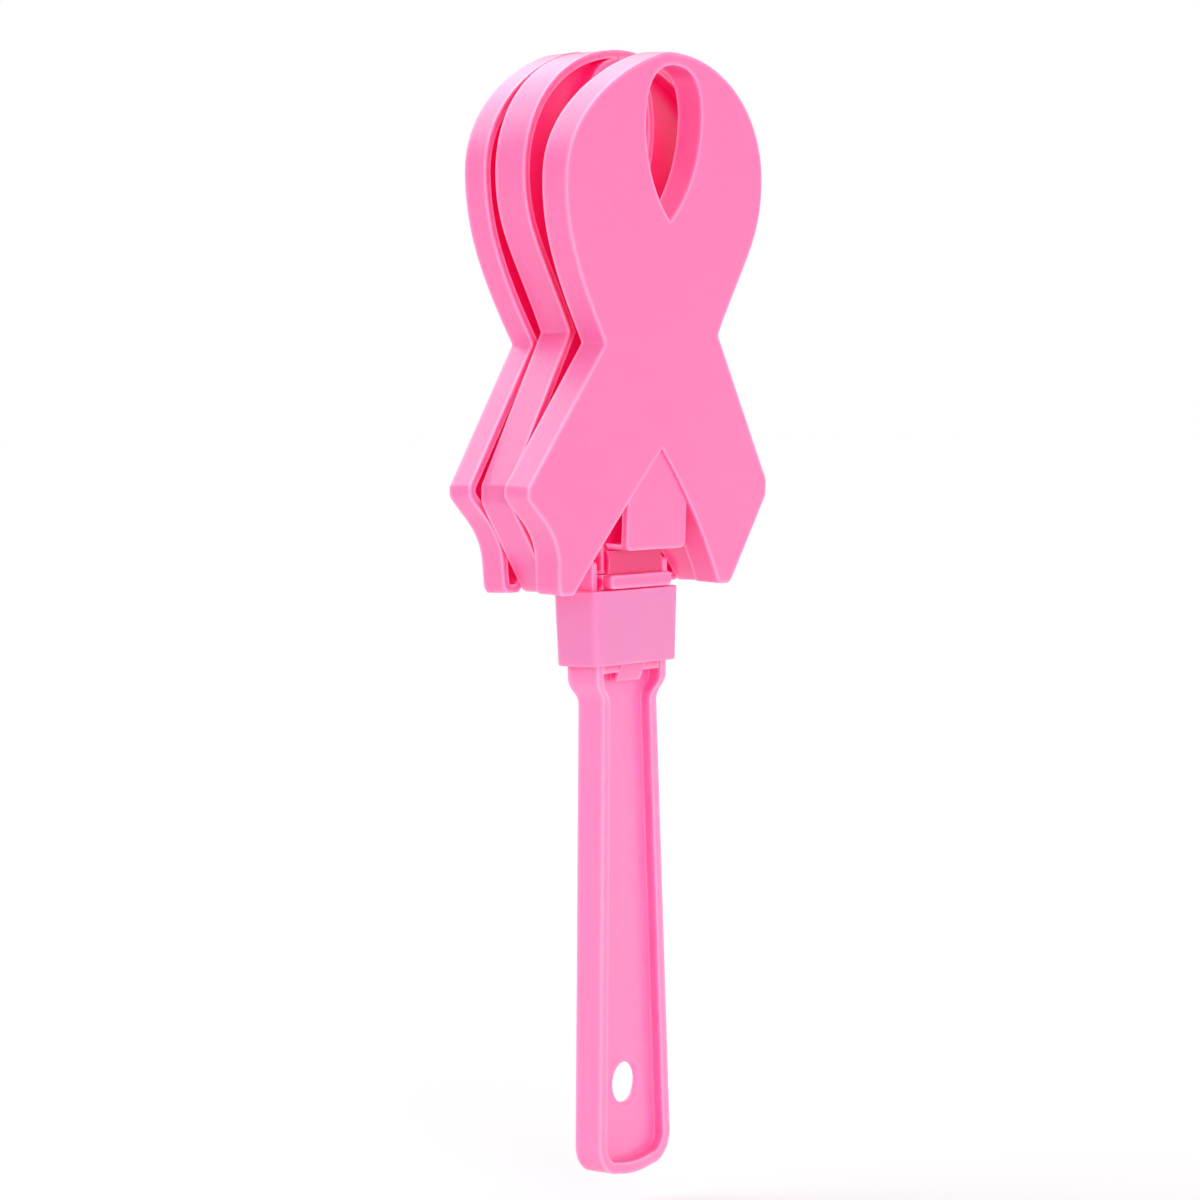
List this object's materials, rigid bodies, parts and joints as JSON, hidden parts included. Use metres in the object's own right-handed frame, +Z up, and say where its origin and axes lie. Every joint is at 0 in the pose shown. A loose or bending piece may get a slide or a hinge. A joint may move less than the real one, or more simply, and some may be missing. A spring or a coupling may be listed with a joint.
{
  "type": "hand clapper",
  "caption": "Long-handled plastic clapper: ribbon-shaped outer leaves on thin hinge webs slap a fixed middle leaf above a collar on a hollowed flat grip.",
  "frame": {"origin": "middle of the hand's hold on the grip, on the handle's middle plane", "axes": "+Z up along the handle towards the leaves, +X across the leaves, +Y through their thickness with the front leaf on the -Y side"},
  "size_m": [0.1046, 0.0336, 0.2817],
  "materials": {
    "leaf_plastic": "satin to glossy injection-moulded pink plastic",
    "handle_plastic": "satin to glossy injection-moulded pink plastic",
    "collar_plastic": "satin to glossy injection-moulded pink plastic"
  },
  "bodies": {
    "held_body": {"handle": "handle_plastic", "collar": "collar_plastic", "middle_leaf": "leaf_plastic", "front_tang": "leaf_plastic", "back_tang": "leaf_plastic", "front_hinge_web": "leaf_plastic", "back_hinge_web": "leaf_plastic"},
    "front_clapper": {"front_leaf": "leaf_plastic"},
    "back_clapper": {"back_leaf": "leaf_plastic"}
  },
  "joints": [
    {"name": "front_web_hinge", "type": "hinge", "parent": "held_body", "child": "front_clapper", "pos_m": [0, -0.00475, 0.0873], "axis": [1, 0, 0], "range_deg": [-3.3, 45], "stiffness_Nm_per_rad": 0.25},
    {"name": "back_web_hinge", "type": "hinge", "parent": "held_body", "child": "back_clapper", "pos_m": [0, 0.00475, 0.0873], "axis": [-1, 0, 0], "range_deg": [-1, 45], "stiffness_Nm_per_rad": 0.25}
  ]
}
